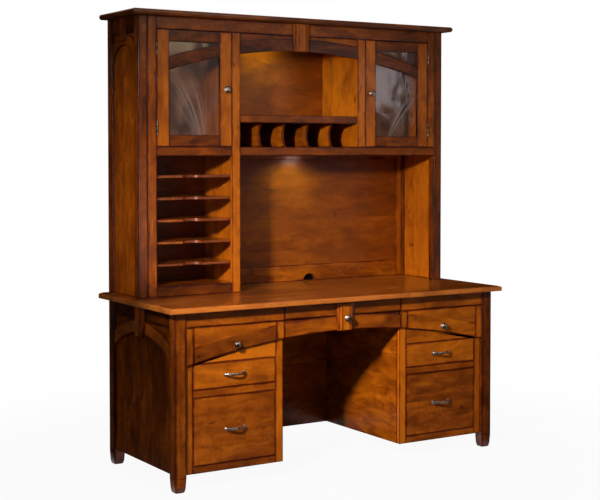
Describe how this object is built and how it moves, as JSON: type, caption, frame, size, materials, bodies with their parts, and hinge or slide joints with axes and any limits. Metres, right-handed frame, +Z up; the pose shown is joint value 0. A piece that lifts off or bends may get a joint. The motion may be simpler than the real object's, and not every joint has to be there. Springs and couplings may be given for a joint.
{
  "type": "executive desk with hutch",
  "caption": "Wooden executive desk with two drawer pedestals, arched drawer fronts and a hutch with glass doors, cubbies and pigeonholes.",
  "frame": {"origin": "on the floor under the middle of the desktop", "axes": "+X to the right seen from the front, -Y towards the person at the desk, +Z up"},
  "size_m": [1.727, 0.724, 1.997],
  "materials": {
    "stained_wood": "satin",
    "desktop_wood": "satin",
    "box_wood": "satin",
    "fitting_metal": "satin",
    "hinge_metal": "satin",
    "door_glass": "gloss",
    "puck_white": "matte"
  },
  "bodies": {
    "case": {"desktop": "desktop_wood", "legs": "stained_wood", "side_panels": "stained_wood", "side_rails": "stained_wood", "side_arches": "stained_wood", "side_keystones": "stained_wood", "inner_sides": "stained_wood", "pedestal_floors": "stained_wood", "desk_back": "stained_wood", "frame_stiles": "stained_wood", "frame_rails": "stained_wood", "arch_blocks": "stained_wood", "runners": "box_wood", "crown": "desktop_wood", "hutch_posts": "stained_wood", "hutch_side_panels": "stained_wood", "hutch_side_rails": "stained_wood", "hutch_side_arches": "stained_wood", "hutch_rails": "stained_wood", "hutch_stiles": "stained_wood", "divider_left": "stained_wood", "divider_right": "stained_wood", "middle_shelf": "stained_wood", "pigeon_shelf": "stained_wood", "pigeon_dividers": "stained_wood", "cubby_shelves": "stained_wood", "valance": "stained_wood", "hutch_keystone": "stained_wood", "hutch_back": "stained_wood", "bay_frame": "stained_wood", "puck_lights": "puck_white", "hinges": "hinge_metal"},
    "top_drawer_left": {"top_left_front": "stained_wood", "top_left_box": "box_wood", "top_left_knob": "fitting_metal"},
    "top_drawer_right": {"top_right_front": "stained_wood", "top_right_box": "box_wood", "top_right_knob": "fitting_metal"},
    "second_drawer_left": {"second_left_front": "stained_wood", "second_left_box": "box_wood", "second_left_pull": "fitting_metal"},
    "second_drawer_right": {"second_right_front": "stained_wood", "second_right_box": "box_wood", "second_right_pull": "fitting_metal"},
    "file_drawer_left": {"file_left_front": "stained_wood", "file_left_box": "box_wood", "file_left_pull": "fitting_metal"},
    "file_drawer_right": {"file_right_front": "stained_wood", "file_right_box": "box_wood", "file_right_pull": "fitting_metal"},
    "center_drawer": {"center_front": "stained_wood", "center_keystone": "stained_wood", "center_box": "box_wood", "center_knob": "fitting_metal"},
    "door_left": {"door_left_frame": "stained_wood", "door_left_glass": "door_glass", "door_left_knob": "fitting_metal"},
    "door_right": {"door_right_frame": "stained_wood", "door_right_glass": "door_glass", "door_right_knob": "fitting_metal"}
  },
  "joints": [
    {"name": "top_drawer_left_slide", "type": "slide", "parent": "case", "child": "top_drawer_left", "axis": [0, -1, 0], "range_m": [0, 0.44]},
    {"name": "top_drawer_right_slide", "type": "slide", "parent": "case", "child": "top_drawer_right", "axis": [0, -1, 0], "range_m": [0, 0.44]},
    {"name": "second_drawer_left_slide", "type": "slide", "parent": "case", "child": "second_drawer_left", "axis": [0, -1, 0], "range_m": [0, 0.45]},
    {"name": "second_drawer_right_slide", "type": "slide", "parent": "case", "child": "second_drawer_right", "axis": [0, -1, 0], "range_m": [0, 0.45]},
    {"name": "file_drawer_left_slide", "type": "slide", "parent": "case", "child": "file_drawer_left", "axis": [0, -1, 0], "range_m": [0, 0.45]},
    {"name": "file_drawer_right_slide", "type": "slide", "parent": "case", "child": "file_drawer_right", "axis": [0, -1, 0], "range_m": [0, 0.45]},
    {"name": "center_drawer_slide", "type": "slide", "parent": "case", "child": "center_drawer", "axis": [0, -1, 0], "range_m": [0, 0.36]},
    {"name": "door_left_hinge", "type": "hinge", "parent": "case", "child": "door_left", "pos_m": [-0.7292, 0.0338, 1.6645], "axis": [0, 0, -1], "range_deg": [0, 110]},
    {"name": "door_right_hinge", "type": "hinge", "parent": "case", "child": "door_right", "pos_m": [0.7292, 0.0338, 1.6645], "axis": [0, 0, 1], "range_deg": [0, 110]}
  ]
}
